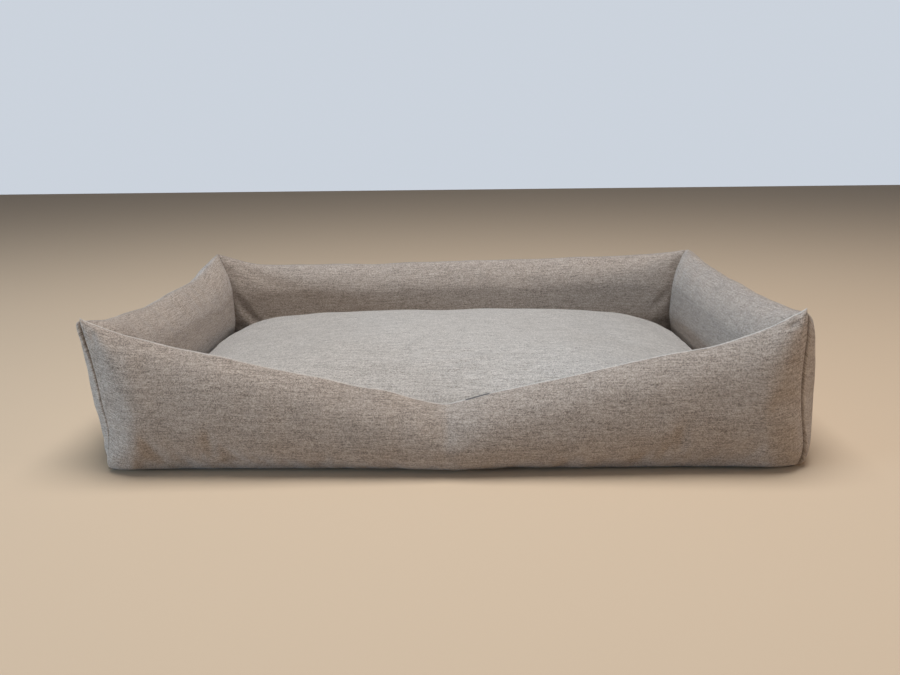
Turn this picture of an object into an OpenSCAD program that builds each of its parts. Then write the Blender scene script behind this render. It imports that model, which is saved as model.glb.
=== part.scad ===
/* [Rim] */
// Distance between the corner seams along the front and back walls
rim_l = 892; // [800:1:1100]
// Distance between the corner seams along the side walls
rim_d = 596; // [520:1:760]
// Height of the two front corner tips above the floor
front_tip_h = 200; // [192:1:230]
// Height of the two back corner tips above the floor
back_tip_h = 189; // [180:1:230]
// Height of the back wall's crest at its middle
back_crest_h = 170; // [150:1:180]
// Height of the side walls' crests at their middle
side_crest_h = 177; // [150:1:180]
// Length over which a crest rises from its level stretch to a corner tip
tip_reach = 170; // [120:1:190]
// How far each wall bulges outwards beyond the line of its corner seams
bulge_out = 38; // [28:1:46]
// How far each wall bulges inwards from the line of its corner seams
bulge_in = 39; // [34:1:46]
// Length over which the outer bulge dies away towards a corner seam
outer_taper = 85; // [75:1:110]
// Length over which the inner bulge dies away towards a corner seam
inner_taper = 90; // [75:1:110]
// Height of the widest part of a wall, as a share of its crest height
belly_share = 0.45; // [0.35:0.01:0.55]

/* [Entry dip of the front wall] */
// Height of the front wall's crest at the bottom of the dip
dip_h = 86; // [76:1:120]
// Height that the dip's straight slopes reach at the corner seams
shoulder_h = 188; // [170:1:190]
// Softness of the dip's bottom
dip_round = 12; // [5:1:40]
// Length of the short steep rise from a slope to a front corner tip
front_tip_reach = 40; // [30:1:80]

/* [Fabric] */
// Thickness of the padded upholstery fabric
cover_t = 1.8; // [1.4:0.1:2.2]
// Thickness of the non-slip base fabric
base_t = 2; // [1.5:0.1:3]
// How far the base fabric's cut edge lies inside the corner-seam lines
base_inset = 1; // [0.5:0.1:4]
// Clearance between a foam core and the fabric round it
core_gap = 0.3; // [0.2:0.1:0.6]
// Width of the gap between two walls that press together at a corner
corner_gap = 0.3; // [0.2:0.1:0.6]
// Height of the upright foot of a wall's inner face, which carries the zip
foot_h = 19; // [17:0.5:24]
// How far that foot lies behind the inner bulge
foot_recess = 5.6; // [5.2:0.1:7]
// Width of the turned-in seam allowance along a wall's outer lower edge
hem_w = 3; // [2.4:0.1:5]

/* [Cushion] */
// Height of the cushion's crown above the floor
crown_h = 117; // [95:1:125]
// Height of the seam between the cushion's two panels
cushion_seam_h = 47; // [44:1:52]
// Clearance between the cushion and the walls' inner bulges
cushion_gap = 0.5; // [0.3:0.1:4]
// Clearance between the cushion and the base fabric
rest_gap = 0.3; // [0.2:0.1:0.6]
// Height of the upright band under the seam, which carries the zip
band_h = 11.5; // [11:0.5:13]
// How far that band lies inside the cushion's seam
band_inset = 6; // [5.8:0.1:8]
// Distance from the seam to where the underside lies flat on the base
underside_inset = 90; // [80:1:110]
// Share by which the corners of the cushion are lower than its sides
corner_droop = 0.3; // [0:0.05:0.5]

/* [Zips] */
// Length of the zips in the front and back walls
long_zip_l = 600; // [400:1:610]
// Length of the zips in the side walls
short_zip_l = 340; // [200:1:340]
// Length of the zip in the cushion
cushion_zip_l = 400; // [250:1:420]
// Width of the slot that a zip fills
zip_slot_w = 9; // [8.6:0.1:9.4]
// Thickness of the zip tape
tape_t = 0.8; // [0.6:0.1:1]
// Width of each of the two rows of teeth
row_w = 2.4; // [2:0.1:2.8]
// Thickness of the rows of teeth
row_t = 2.4; // [2:0.1:2.8]
// Gap between the two rows, where the slider's post runs
row_gap = 1; // [0.8:0.1:1.2]
// Length of the stop at each end of a zip
stop_l = 3; // [2:0.5:5]
// Length of a zip slider
slider_l = 12; // [11:0.5:14]
// Width of a zip slider
slider_w = 10; // [9.6:0.1:10.4]
// Thickness of a slider's upper and lower plates
plate_t = 1.5; // [1.2:0.1:1.6]
// Clearance between a slider and what it runs along
slide_gap = 0.3; // [0.2:0.05:0.4]
// Length of a zip pull from its pin to its free end
pull_l = 24; // [16:1:26]
// Width of a zip pull
pull_w = 6.5; // [6:0.1:7]
// Thickness of a zip pull
pull_t = 1.4; // [1:0.1:1.6]
// Radius of the pin that a pull turns on
pin_r = 0.8; // [0.6:0.05:0.9]
// Radial clearance between the pin and the eye of a pull
pin_gap = 0.08; // [0.04:0.01:0.1]

/* [Hidden] */

fabric_colour = [0.64, 0.60, 0.55];
cushion_colour = [0.70, 0.67, 0.62];
base_colour = [0.25, 0.24, 0.23];
foam_colour = [0.93, 0.91, 0.85];
zip_colour = [0.50, 0.46, 0.41];
metal_colour = [0.62, 0.60, 0.57];

half_l = rim_l / 2;
half_d = rim_d / 2;
foot_in = bulge_in - foot_recess;
dip_slope = (shoulder_h - dip_h) / (sqrt(half_l * half_l + dip_round * dip_round) - dip_round);

// Roundness of a wall's section above its belly, of its outer side below it, which runs
// down to a sewn edge, and of its inner side below it, which is fuller
crest_roundness = 2.2;
hem_roundness = 1.6;
foot_roundness = 2.4;

// ---- Walls: pillows, swept along the line between two corner seams ----

// Width factor of a superellipse at a share k of its height
function superellipse(k, n) = pow(max(0, 1 - pow(min(1, k), n)), 1 / n);

// Bulges of a wall at a distance s from its corner seam
function outer_bulge(s) = bulge_out * sin(90 * min(1, s / outer_taper));
function inner_bulge(s) = bulge_in * sqrt(1 - pow(1 - min(1, s / inner_taper), 2));

// Rise of a crest towards a corner tip: 0 on the level stretch, 1 at the seam
function tip_rise(s, reach) = pow(1 - min(1, s / reach), 2);

// Crest height of the front wall at a place u along it
front_crest = function (u)
    dip_h + dip_slope * (sqrt(u * u + dip_round * dip_round) - dip_round)
    + (front_tip_h - shoulder_h) * tip_rise(half_l - abs(u), front_tip_reach);

// Crest height of the back wall
back_crest = function (u)
    back_crest_h + (back_tip_h - back_crest_h) * tip_rise(half_l - abs(u), tip_reach);

// Crest height of a side wall, with its front end at the side of u that front_sign gives
function side_crest(front_sign) = function (u)
    let (tip_h = u * front_sign > 0 ? front_tip_h : back_tip_h)
    side_crest_h + (tip_h - side_crest_h) * tip_rise(half_d - abs(u), tip_reach);

// Places along a wall where its section is drawn: close together near the seams, with
// steps stretches on each half of the middle, drawn together at the centre by crowd
seam_end = 1;
end_sections = 7;
function end_place(i, first) =
    first + (inner_taper - first) * pow(i / end_sections, 1.5);
function stations(half, first, steps, crowd) =
    let (level = half - inner_taper)
    concat(
        [for (i = [0 : end_sections]) half - end_place(i, first)],
        [for (i = [steps - 1 : -1 : 1 - steps]) level * sign(i) * pow(abs(i) / steps, crowd)],
        [for (i = [end_sections : -1 : 0]) end_place(i, first) - half]
    );

// One section across a wall at the place u, drawn inset inside the fabric's outer face,
// with its hem turned in by hem, from the outer lower edge over the crest to the foot.
// Along y the outer side is negative and 0 is the line of the corner seams.
outer_shares = [0, 0.06, 0.2, 0.5];
inner_shares = [0.75, 0.35];
crest_steps = 5;
function section(u, half, crest, inset, hem, floor_h) =
    let (
        s = half - abs(u),
        top = crest(u) - inset,
        belly = base_t + belly_share * (crest(u) - base_t),
        foot_top = base_t + foot_h,
        outer = outer_bulge(s) - inset,
        inner = inner_bulge(s) - inset,
        foot = foot_in * inner_bulge(s) / bulge_in - inset,
        mitre = s - (corner_gap / 2 + inset) * sqrt(2)
    )
    concat(
        [for (k = outer_shares)
            let (z = k == 0 ? floor_h : base_t + k * (belly - base_t))
            [u, hem - (outer + hem) * superellipse((belly - z) / (belly - base_t), hem_roundness), z]],
        [for (i = [0 : crest_steps - 1])
            let (k = sin(90 * i / crest_steps))
            [u, -outer * superellipse(k, crest_roundness), belly + k * (top - belly)]],
        [[u, 0, top]],
        [for (i = [crest_steps - 1 : -1 : 0])
            let (k = sin(90 * i / crest_steps))
            [u, min(mitre, inner * superellipse(k, crest_roundness)), belly + k * (top - belly)]],
        [for (k = inner_shares)
            let (
                z = foot_top + k * (belly - foot_top),
                w = inner * superellipse((belly - z) / (belly - base_t), foot_roundness)
            )
            [u, min(mitre, max(w, foot)), z]],
        [[u, min(mitre, foot), foot_top], [u, min(mitre, foot), floor_h]]
    );

// A closed skin over a row of rings with as many points each, and a pole at each end
module skin(first_pole, rings, last_pole) {
    n = len(rings[0]);
    last = len(rings) * n + 1;
    polyhedron(
        points = concat([first_pole], [for (r = rings) each r], [last_pole]),
        faces = concat(
            [for (j = [0 : n - 1]) [0, 1 + j, 1 + (j + 1) % n]],
            [for (i = [0 : len(rings) - 2], j = [0 : n - 1])
                let (a = 1 + i * n, b = a + n, k = (j + 1) % n)
                each [[a + j, b + j, b + k], [a + j, b + k, a + k]]],
            [for (j = [0 : n - 1])
                let (a = last - n)
                [last, a + (j + 1) % n, a + j]]
        )
    );
}

module wall_form(half, crest, steps, crowd, first, inset = 0, hem = 0, floor_h = base_t) {
    places = stations(half, first, steps, crowd);
    rings = [for (u = places) section(u, half, crest, inset, hem, floor_h)];
    end_u = half - first;
    mid_h = (base_t + crest(end_u)) / 2;
    skin([end_u, 0, mid_h], rings, [-end_u, 0, mid_h]);
}

// Where the cavity and the core of a wall end, short of the pinched seam
cavity_end = 11;
core_end = cavity_end + 1;
// The cavity runs out through the bottom of the cover, where the base fabric closes it
cavity_floor = base_t - 1;

module wall_cover(half, crest, steps, crowd, zip_l) {
    color(fabric_colour)
    difference() {
        wall_form(half, crest, steps, crowd, seam_end);
        wall_form(half, crest, steps, crowd, cavity_end, cover_t, hem_w, cavity_floor);
        translate([0, foot_in - cover_t / 2, zip_h])
            cube([zip_l, 2 * cover_t, zip_slot_w], center = true);
    }
}

module wall_core(half, crest, steps, crowd, zip_l) {
    inset = cover_t + core_gap;
    color(foam_colour)
    difference() {
        wall_form(half, crest, steps, crowd, core_end, inset, hem_w + core_gap);
        translate([0, foot_in - cover_t / 2, zip_h])
            zip_groove(zip_l);
    }
}

// The walls share one module and differ in place, length and crest. The front wall's own
// y axis points into the bed, and each other wall is the same one turned round.
module at_front() { translate([0, -half_d, 0]) children(); }
module at_back() { rotate(180) translate([0, -half_d, 0]) children(); }
module at_left() { rotate(-90) translate([0, -half_l, 0]) children(); }
module at_right() { rotate(90) translate([0, -half_l, 0]) children(); }

front_steps = 6;
front_crowd = 1.8;
level_steps = 3;
level_crowd = 1;
left_crest = side_crest(1);
right_crest = side_crest(-1);

module front_wall_cover() {
    at_front() wall_cover(half_l, front_crest, front_steps, front_crowd, long_zip_l);
}
module back_wall_cover() {
    at_back() wall_cover(half_l, back_crest, level_steps, level_crowd, long_zip_l);
}
module left_wall_cover() {
    at_left() wall_cover(half_d, left_crest, level_steps, level_crowd, short_zip_l);
}
module right_wall_cover() {
    at_right() wall_cover(half_d, right_crest, level_steps, level_crowd, short_zip_l);
}
module front_wall_core() {
    at_front() wall_core(half_l, front_crest, front_steps, front_crowd, long_zip_l);
}
module back_wall_core() {
    at_back() wall_core(half_l, back_crest, level_steps, level_crowd, long_zip_l);
}
module left_wall_core() {
    at_left() wall_core(half_d, left_crest, level_steps, level_crowd, short_zip_l);
}
module right_wall_core() {
    at_right() wall_core(half_d, right_crest, level_steps, level_crowd, short_zip_l);
}

module base_panel() {
    color(base_colour)
    translate([0, 0, base_t / 2])
        cube([rim_l - 2 * base_inset, rim_d - 2 * base_inset, base_t], center = true);
}

// ---- Zips: the chain lies along x, z is up, and y is 0 at the middle of the tape and
// points out of the fabric's face ----

// Height of a wall's zip above the floor
zip_h = base_t + foot_h / 2 + 1;

// A slider's plates lie from plate_in to plate_out on both sides of the chain. The lower one
// is smaller by plate_less, and join_lap is how deep a post or ear runs into a plate.
plate_in = row_t / 2 + slide_gap;
plate_out = plate_in + plate_t;
plate_less = 1.6;
join_lap = 0.1;
nose_r = 2;
tail_share = 0.34;
post_l = 4;
flange_t = 0.8;
flange_l = slider_l / 3;
flange_x = slider_l / 4 - 0.5;
flange_z = (zip_slot_w - flange_t) / 2 - slide_gap;

// The pin's place on the slider, the ears that hold it and the barrel that turns on it
barrel_wall = 0.6;
barrel_r = pin_r + pin_gap + barrel_wall;
pin_x = 2;
pin_y = plate_out + barrel_r + slide_gap;
ear_t = 1;
ear_gap = 0.25;

// The pull's narrow neck beside the ears, its rounded end and the hole in it
neck_w = pull_w - 1;
neck_l = 4.2;
end_r = 2.2;
hang_hole_r = 1.4;

// Travel of a slider from the closed end of its zip to the open end
function travel(zip_l) = zip_l - slider_l - 2 * (stop_l + slide_gap);

module zip_chain(zip_l) {
    color(zip_colour)
    union() {
        for (side = [-1, 1]) {
            tape_w = (zip_slot_w - row_gap) / 2;
            translate([0, 0, side * (row_gap + tape_w) / 2])
                cube([zip_l, tape_t, tape_w], center = true);
            translate([0, 0, side * (row_gap + row_w) / 2])
                cube([zip_l, row_t, row_w], center = true);
            translate([side * (zip_l - stop_l) / 2, 0, 0])
                cube([stop_l, row_t, row_gap + 2 * row_w], center = true);
        }
    }
}

// Room in a foam core for the lower plate of a slider
module zip_groove(zip_l) {
    depth = plate_out + slide_gap;
    translate([0, -depth / 2, 0])
        cube([zip_l, depth, slider_w], center = true);
}

// Outline of a slider's plates: broad at the end that leads when the zip closes
module slider_outline(w, l) {
    tail_r = tail_share * w;
    hull() {
        for (side = [-1, 1])
            translate([l / 2 - nose_r, side * (w / 2 - nose_r)])
                circle(nose_r, $fn = 24);
        translate([tail_r - l / 2, 0])
            circle(tail_r, $fn = 24);
    }
}

module slider_plate(w, l, y0, y1) {
    translate([0, y1, 0]) rotate([90, 0, 0])
        linear_extrude(y1 - y0) slider_outline(w, l);
}

module zip_slider() {
    flange_low = tape_t / 2 + slide_gap;
    flange_high = plate_in + join_lap;
    ear_z = neck_w / 2 + ear_gap;
    color(metal_colour)
    union() {
        slider_plate(slider_w, slider_l, plate_in, plate_out);
        slider_plate(slider_w - plate_less, slider_l - plate_less / 2, -plate_out, -plate_in);
        cube([post_l, 2 * (plate_in + join_lap), row_gap - 2 * slide_gap], center = true);
        for (side = [-1, 1]) {
            translate([flange_x, (flange_low + flange_high) / 2, side * flange_z])
                cube([flange_l, flange_high - flange_low, flange_t], center = true);
            translate([pin_x, 0, side * (ear_z + ear_t / 2)])
                pin_ear();
        }
        translate([pin_x, pin_y, 0])
            cylinder(h = 2 * ear_z + ear_t, r = pin_r, center = true, $fn = 32);
    }
}

module pin_ear() {
    linear_extrude(ear_t, center = true) {
        translate([0, pin_y])
            circle(barrel_r, $fn = 32);
        translate([-barrel_r, plate_out - join_lap])
            square([2 * barrel_r, pin_y - plate_out + join_lap]);
    }
}

// A flat tab with a rolled eye, lying along the chain from the pin
module zip_pull() {
    color(metal_colour)
    difference() {
        union() {
            cylinder(h = neck_w, r = barrel_r, center = true, $fn = 32);
            translate([0, -pull_t / 2, -neck_w / 2])
                cube([neck_l, pull_t, neck_w]);
            translate([0, pull_t / 2, 0]) rotate([90, 0, 0])
                linear_extrude(pull_t)
                difference() {
                    hull() {
                        translate([neck_l, -pull_w / 2])
                            square([1, pull_w]);
                        for (side = [-1, 1])
                            translate([pull_l - end_r, side * (pull_w / 2 - end_r)])
                                circle(end_r, $fn = 24);
                    }
                    translate([pull_l - end_r - hang_hole_r, 0])
                        circle(hang_hole_r, $fn = 24);
                }
        }
        cylinder(h = neck_w + 1, r = pin_r + pin_gap, center = true, $fn = 32);
    }
}

// Places of a zip and of its slider at the closed end, in a wall's own axes
module in_wall_zip() { translate([0, foot_in - cover_t / 2, zip_h]) children(); }
module at_closed_end(zip_l) { translate([-travel(zip_l) / 2, 0, 0]) children(); }
module on_pin() { translate([pin_x, pin_y, 0]) children(); }

module front_zip_chain() { at_front() in_wall_zip() zip_chain(long_zip_l); }
module back_zip_chain() { at_back() in_wall_zip() zip_chain(long_zip_l); }
module left_zip_chain() { at_left() in_wall_zip() zip_chain(short_zip_l); }
module right_zip_chain() { at_right() in_wall_zip() zip_chain(short_zip_l); }

module front_zip_slider() { at_front() in_wall_zip() at_closed_end(long_zip_l) zip_slider(); }
module back_zip_slider() { at_back() in_wall_zip() at_closed_end(long_zip_l) zip_slider(); }
module left_zip_slider() { at_left() in_wall_zip() at_closed_end(short_zip_l) zip_slider(); }
module right_zip_slider() { at_right() in_wall_zip() at_closed_end(short_zip_l) zip_slider(); }

module front_zip_pull() { at_front() in_wall_zip() at_closed_end(long_zip_l) on_pin() zip_pull(); }
module back_zip_pull() { at_back() in_wall_zip() at_closed_end(long_zip_l) on_pin() zip_pull(); }
module left_zip_pull() { at_left() in_wall_zip() at_closed_end(short_zip_l) on_pin() zip_pull(); }
module right_zip_pull() { at_right() in_wall_zip() at_closed_end(short_zip_l) on_pin() zip_pull(); }

// ---- Cushion: a pillow of two panels, sewn together round their edge ----

cushion_half_l = half_l - bulge_in - cushion_gap;
cushion_half_d = half_d - bulge_in - cushion_gap;
cushion_floor = base_t + rest_gap;

// The plan is a superellipse. The top's height follows the roundness and fullness of its
// crown, and the underside's curve its own roundness.
plan_n = 8;
plan_points = 36;
crown_roundness = 2;
crown_fullness = 2.5;
underside_roundness = 1.5;

// Outline of the cushion in plan, inset inside its seam and then scaled by k
function plan(inset, k, z) =
    [for (j = [0 : plan_points - 1])
        let (
            angle = 360 * (j + 0.5) / plan_points,
            c = cos(angle),
            s = sin(angle),
            x = k * sign(c) * pow(abs(c), 2 / plan_n),
            y = k * sign(s) * pow(abs(s), 2 / plan_n)
        )
        [x * (cushion_half_l - inset), y * (cushion_half_d - inset), z(x, y)]];

// Height of the crowned top over a place given in shares of the half length and half depth
function dome_h(x, y, inset) =
    let (rho = min(1, pow(pow(abs(x), plan_n) + pow(abs(y), plan_n), 1 / plan_n)))
    cushion_seam_h + (crown_h - inset - cushion_seam_h) * (1 - corner_droop * x * x * y * y)
    * pow(1 - pow(rho, crown_roundness), 1 / crown_fullness);

// The dome's rings, as shares of the way out from its middle to the seam
dome_shares = [1, 0.985, 0.94, 0.86, 0.74, 0.56, 0.32];
function dome_ring(k, inset) =
    plan(inset, k, function (x, y) k == 1 ? cushion_seam_h : dome_h(x, y, inset));
function dome_rings(inset) = [for (k = dome_shares) dome_ring(k, inset)];

// Rings of the underside, from the seam over a short slope and the upright band to the flat
band_slope = 5.5;
band_top = cushion_seam_h - band_slope;
band_foot = band_top - band_h;
underside_steps = 4;
function level_ring(inset, z) = plan(inset, 1, function (x, y) z);
function underside_rings(inset) =
    concat(
        [level_ring(inset, cushion_seam_h), level_ring(inset + band_inset, band_top)],
        [for (i = [0 : underside_steps])
            let (
                k = sin(90 * i / underside_steps),
                out = superellipse(k, underside_roundness),
                flat = cushion_floor + inset
            )
            level_ring(
                inset + band_inset + (underside_inset - band_inset) * (1 - out),
                band_foot - k * (band_foot - flat)
            )]
    );

function reverse(list) = [for (i = [len(list) - 1 : -1 : 0]) list[i]];

cushion_zip_h = band_top - band_h / 2;
core_inset = cover_t + core_gap;

module cushion_top_panel() {
    color(cushion_colour)
    skin([0, 0, crown_h - cover_t],
        concat(reverse(dome_rings(cover_t)), dome_rings(0)),
        [0, 0, crown_h]);
}

module cushion_bottom_panel() {
    color(cushion_colour)
    difference() {
        skin([0, 0, cushion_floor],
            concat(reverse(underside_rings(0)), underside_rings(cover_t)),
            [0, 0, cushion_floor + cover_t]);
        in_cushion_zip()
            cube([cushion_zip_l, 4 * cover_t, zip_slot_w], center = true);
    }
}

module cushion_core() {
    color(foam_colour)
    difference() {
        skin([0, 0, cushion_floor + core_inset],
            concat(
                reverse(underside_rings(core_inset)),
                [for (k = dome_shares) if (k < 1) dome_ring(k, core_inset)]
            ),
            [0, 0, crown_h - core_inset]);
        in_cushion_zip() zip_groove(cushion_zip_l);
    }
}

// The zip lies in the band at the back of the cushion and faces the back wall
module in_cushion_zip() {
    translate([0, cushion_half_d - band_inset - cover_t / 2, cushion_zip_h]) children();
}
module cushion_zip_chain() { in_cushion_zip() zip_chain(cushion_zip_l); }
module cushion_zip_slider() { in_cushion_zip() at_closed_end(cushion_zip_l) zip_slider(); }
module cushion_zip_pull() { in_cushion_zip() at_closed_end(cushion_zip_l) on_pin() zip_pull(); }

front_wall_cover();
back_wall_cover();
left_wall_cover();
right_wall_cover();
front_wall_core();
back_wall_core();
left_wall_core();
right_wall_core();
base_panel();
front_zip_chain();
back_zip_chain();
left_zip_chain();
right_zip_chain();
front_zip_slider();
back_zip_slider();
left_zip_slider();
right_zip_slider();
front_zip_pull();
back_zip_pull();
left_zip_pull();
right_zip_pull();
cushion_top_panel();
cushion_bottom_panel();
cushion_core();
cushion_zip_chain();
cushion_zip_slider();
cushion_zip_pull();
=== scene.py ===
"""A dog bed with a padded rim: four pillow walls sewn into a rectangle round a loose cushion."""

import math
from dataclasses import dataclass

import bmesh
import bpy
import numpy as np
from mathutils import Matrix, Vector, noise


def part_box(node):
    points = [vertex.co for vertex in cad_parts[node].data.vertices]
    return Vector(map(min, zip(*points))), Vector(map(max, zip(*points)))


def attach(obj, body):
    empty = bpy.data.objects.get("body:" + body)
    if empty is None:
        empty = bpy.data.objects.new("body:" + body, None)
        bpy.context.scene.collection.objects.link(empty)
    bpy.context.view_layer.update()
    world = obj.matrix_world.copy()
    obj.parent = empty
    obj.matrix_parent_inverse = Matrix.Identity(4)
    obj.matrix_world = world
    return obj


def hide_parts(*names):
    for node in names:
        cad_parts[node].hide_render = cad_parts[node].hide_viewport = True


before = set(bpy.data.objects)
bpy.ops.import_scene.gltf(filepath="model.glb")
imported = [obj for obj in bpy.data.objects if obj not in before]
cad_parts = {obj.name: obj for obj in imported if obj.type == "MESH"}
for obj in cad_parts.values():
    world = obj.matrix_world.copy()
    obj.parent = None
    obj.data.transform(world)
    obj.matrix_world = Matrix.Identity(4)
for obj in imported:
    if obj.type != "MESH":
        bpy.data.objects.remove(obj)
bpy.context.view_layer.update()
scene = bpy.context.scene
MM = 0.001

# ---- Studio ---------------------------------------------------------------------------
# The camera stands 1.3 m in front of the bed, a little to the right, and looks down on it.
# The floor and the surround are plain. A wide soft light hangs overhead, cool daylight comes
# in low from the left, and a warmer room lies to the right.

camera_at = (0.029, -1.328, 0.440)
camera_yaw, camera_pitch, camera_roll = 1.16, 14.46, -0.72  # degrees
sensor_w = 36.0
lens = 34.44

camera = bpy.data.objects.new("camera", bpy.data.cameras.new("camera"))
camera.data.sensor_width = sensor_w
camera.data.lens = lens
facing = Matrix.Translation(camera_at)
for angle, axis in ((camera_yaw, "Z"), (90 - camera_pitch, "X"), (camera_roll, "Z")):
    facing @= Matrix.Rotation(math.radians(angle), 4, axis)
camera.matrix_world = facing
scene.collection.objects.link(camera)
scene.camera = camera
scene.view_settings.view_transform = "Standard"

floor_colour = (0.56, 0.42, 0.29, 1)
floor_roughness = 0.8
floor_size = 8.0
surround_colour, surround_strength = (0.80, 0.86, 0.95, 1), 0.06
surround_seen = (0.60, 0.65, 0.72, 1)


def set_all(thing, **values):
    for key, value in values.items():
        setattr(thing, key, value)


def node(tree, kind, at=None, **sockets):
    """A shader node with its settings and inputs, which go by name or, as _0, by number. A
    value is set, and an output is linked."""
    made = tree.nodes.new(f"ShaderNode{kind}")
    set_all(made, **(at or {}))
    for key, value in sockets.items():
        by_number = key[1:].isdigit()
        socket = made.inputs[int(key[1:]) if by_number else key.replace("_", " ")]
        if isinstance(value, bpy.types.NodeSocket):
            tree.links.new(value, socket)
        else:
            socket.default_value = value
    return made


def maths(tree, operation, *values, kind="Math"):
    sockets = {f"_{i}": value for i, value in enumerate(values)}
    return node(tree, kind, {"operation": operation}, **sockets).outputs[0]


def material(name):
    """A new material, its tree, and the place on the object, for a pattern to follow."""
    made = bpy.data.materials.new(name)
    made.use_nodes = True
    tree = made.node_tree
    tree.nodes.clear()
    return made, tree, node(tree, "TexCoord").outputs["Object"]


def finished(made, **look):
    shader = node(made.node_tree, "BsdfPrincipled", **look).outputs[0]
    node(made.node_tree, "OutputMaterial", Surface=shader)
    return made


floor_finish = material("studio_floor")[0]
finished(floor_finish, Base_Color=floor_colour, Roughness=floor_roughness)
floor_mesh = bpy.data.meshes.new("studio_floor")
reach = floor_size / 2
floor_corners = [(x, y, 0) for x in (-reach, reach) for y in (-reach, reach)]
floor_mesh.from_pydata(floor_corners, [], [(0, 2, 3, 1)])
floor_mesh.materials.append(floor_finish)
floor = bpy.data.objects.new("studio_floor", floor_mesh)
scene.collection.objects.link(floor)

world = bpy.data.worlds.new("surround")
world.use_nodes = True
scene.world = world
tree = world.node_tree
tree.nodes.clear()
ray = node(tree, "LightPath").outputs
seen = maths(tree, "MAXIMUM", ray["Is Camera Ray"], ray["Is Glossy Ray"])
lit = node(tree, "Background", Color=surround_colour, Strength=surround_strength)
shown = node(tree, "Background", Color=surround_seen, Strength=1.0)
mixed = node(tree, "MixShader", _0=seen, _1=lit.outputs[0], _2=shown.outputs[0])
node(tree, "OutputWorld", Surface=mixed.outputs[0])

# Soft lights: where each is, where it points, its width and height, its watts and its colour
for name, at, aim, (wide, high), watts, colour in (
    ("overhead_light", (0.05, -0.30, 2.6), (0, 0, 0.1), (1.6, 1.6), 77, (0.93, 0.965, 1.0)),
    ("window_light", (-3.0, -1.25, 0.48), (-0.45, -0.30, 0.1), (1.6, 0.6), 76, (0.55, 0.77, 1.0)),
    ("room_light", (3.4, -0.9, 0.85), (0.3, 0, 0.1), (1.8, 0.8), 35, (1.0, 0.84, 0.70)),
):
    lamp = bpy.data.lights.new(name, "AREA")
    set_all(lamp, shape="RECTANGLE", size=wide, size_y=high, energy=watts, color=colour)
    light = bpy.data.objects.new(name, lamp)
    turn = (Vector(aim) - Vector(at)).to_track_quat("-Z", "Y").to_euler()
    set_all(light, location=at, rotation_euler=turn, visible_camera=False)
    scene.collection.objects.link(light)

# ---- Tweed -----------------------------------------------------------------------------
# The covers are cut from one upholstery tweed: a plain weave of thick mottled yarns, spun
# from pale and dark fibres. The walls and the cushion have it in slightly different shades.

yarn_pitch = 1.15 * MM
yarn_wander, wander_w = 0.3 * MM, 6 * MM
pebble_l, pebble_w = 2.4 * MM, 1.8 * MM
cloud_l, cloud_w = 60 * MM, 45 * MM
yarn_relief = 0.45 * MM
# Patches of yarn that share a shade: their length and width in yarns, how many lengths each
# row of them starts after the last one, and how much they count
yarn_patches = ((1, 1, 0.0, 0.47), (3, 1, 0.37, 0.17), (14, 1, 0.61, 0.23), (1, 6, 0.0, 0.04))
# Shares of pebbles and clouds, and of painted shade: hollows between yarns darker, tops paler
pebble_share, cloud_share, yarn_shade_share = 0.04, 0.08, 0.12
darkest, palest = 0.08, 1.04
# The sewn crease: a real groove in the bump, with a near-black line of painted shade in it
crease_at, crease_w = -1 * MM, (1.0 * MM, 2.2 * MM)
# A pale line of painted highlight along the front crest, where light catches the ridge
crest_highlight_at, crest_highlight_w = -0.3 * MM, (0.5 * MM, 2.4 * MM)
crease_shade_colour, crest_highlight_colour = (0.05, 0.043, 0.036, 1), (0.80, 0.77, 0.72, 1)
crease_shade_share, crest_highlight_share, crease_depth = 0.9, 0.36, 3.0
fluff_tint = (0.86, 0.93, 1.0, 1)


def vector_maths(tree, operation, *values):
    made = maths(tree, operation, *values, kind="VectorMath").node
    return made.outputs["Value" if operation == "LENGTH" else "Vector"]


def clouds(tree, place, scale, detail, output="Fac"):
    """Soft noise of a scale in clouds to the metre."""
    made = node(tree, "TexNoise", Vector=place, Scale=scale, Detail=detail)
    return made.outputs[output]


def mix(tree, share, low, high):
    """The share of a number between low and high, as tint is for colours."""
    return node(tree, "Mix", {"data_type": "FLOAT"}, _0=share, _2=low, _3=high).outputs[0]


def tint(tree, share, low, high):
    made = node(tree, "Mix", {"data_type": "RGBA"}, _0=share, _6=low, _7=high)
    return made.outputs["Result"]


def spot(tree, away, whole, gone):
    """1 where away is less than whole, and 0 where it is more than gone."""
    at = {"interpolation_type": "SMOOTHSTEP"}
    made = node(tree, "MapRange", at, _0=away, _1=whole, _2=gone, _3=1.0, _4=0.0)
    return made.outputs[0]


def bump(tree, height, strength, depth):
    return node(tree, "Bump", Strength=strength, Distance=depth, Height=height).outputs[0]


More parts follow.
